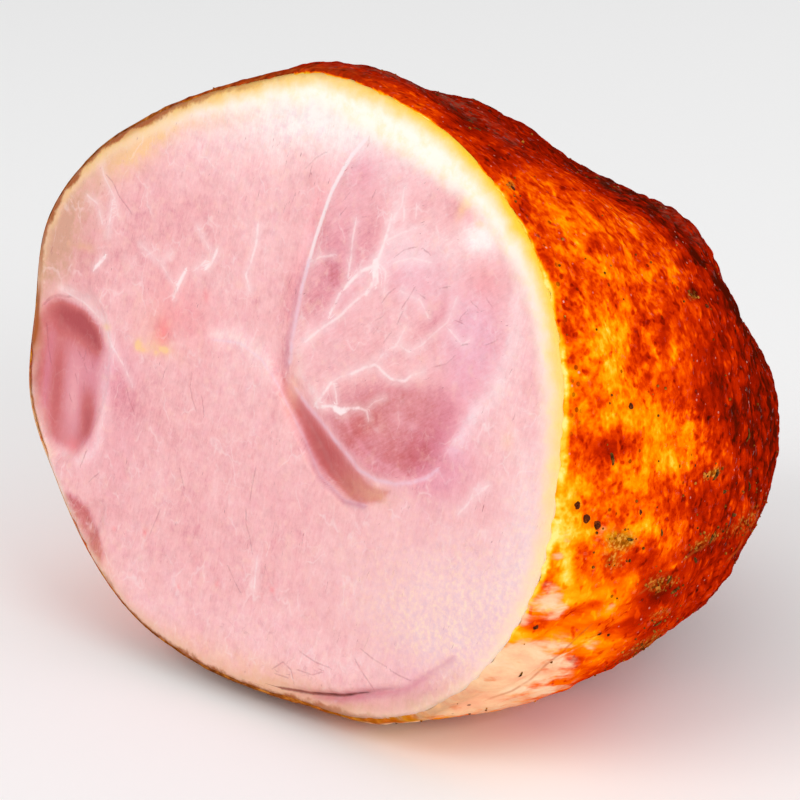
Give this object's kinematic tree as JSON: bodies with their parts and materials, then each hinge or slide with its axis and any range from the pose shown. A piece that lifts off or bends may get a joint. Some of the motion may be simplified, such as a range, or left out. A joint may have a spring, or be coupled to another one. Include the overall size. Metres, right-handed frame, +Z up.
{
  "type": "cooked ham",
  "caption": "Boneless cooked half ham lying on its side, cut across to show pink muscles and a fat edge, the rounded end covered in browned, spiced rind.",
  "frame": {"origin": "on the surface that the ham rests on, under the middle of its bounding box", "axes": "+Z up; the cut face is at the front and faces -Y, leaning back 12 degrees; +X is across the cut face, its widest way"},
  "size_m": [0.2162, 0.1912, 0.1814],
  "materials": {
    "ham": "moist cooked pink meat with an orange-brown glazed rind"
  },
  "bodies": {
    "root": {"ham": "ham"}
  },
  "joints": []
}
